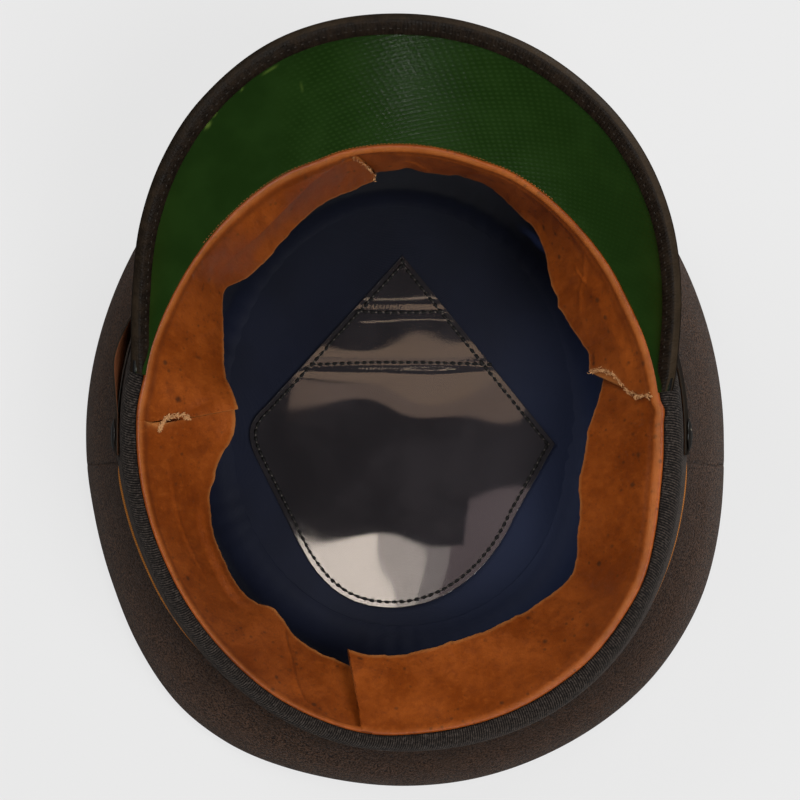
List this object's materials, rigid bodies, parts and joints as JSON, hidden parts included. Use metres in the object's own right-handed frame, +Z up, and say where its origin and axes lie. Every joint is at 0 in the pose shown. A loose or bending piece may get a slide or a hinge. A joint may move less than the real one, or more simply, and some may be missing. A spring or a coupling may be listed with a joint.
{
  "type": "visor cap",
  "caption": "Peaked wool cap lying upside down on its flat crown, with ribbed band, bound peak, leather sweatband, lining, clear sweat shield and chin strap.",
  "frame": {"origin": "on the ground under the middle of the cap's box, the flat of the crown lying on the ground", "axes": "+Z up, out of the head opening; +Y towards the peak; +X to the right as seen looking into the cap with the peak away"},
  "size_m": [0.231, 0.2582, 0.1467],
  "materials": {
    "wool": "napped grey-brown wool cloth",
    "ribbed_band": "dark blue-grey ribbed weave",
    "piping": "orange cloth piping",
    "peak_green": "lacquered fibre, fine embossed net",
    "dark_leather": "dark smooth leather",
    "tan_leather": "worn tan leather, spotted",
    "lining": "dark blue sateen",
    "clear_shield": "clear glossy sheet",
    "button": "black enamel"
  },
  "bodies": {
    "root": {"crown_top": "wool", "crown_side_front": "wool", "crown_side_back": "wool", "cap_band": "ribbed_band", "band_piping": "piping", "peak": "peak_green", "peak_binding": "dark_leather", "sweatband_front_left": "tan_leather", "sweatband_front_right": "tan_leather", "sweatband_back_left": "tan_leather", "sweatband_back_right": "tan_leather", "lining_side": "lining", "lining_top": "lining", "sweat_shield": "clear_shield", "chin_strap": "dark_leather", "strap_button_left": "button", "strap_button_right": "button"}
  },
  "joints": []
}
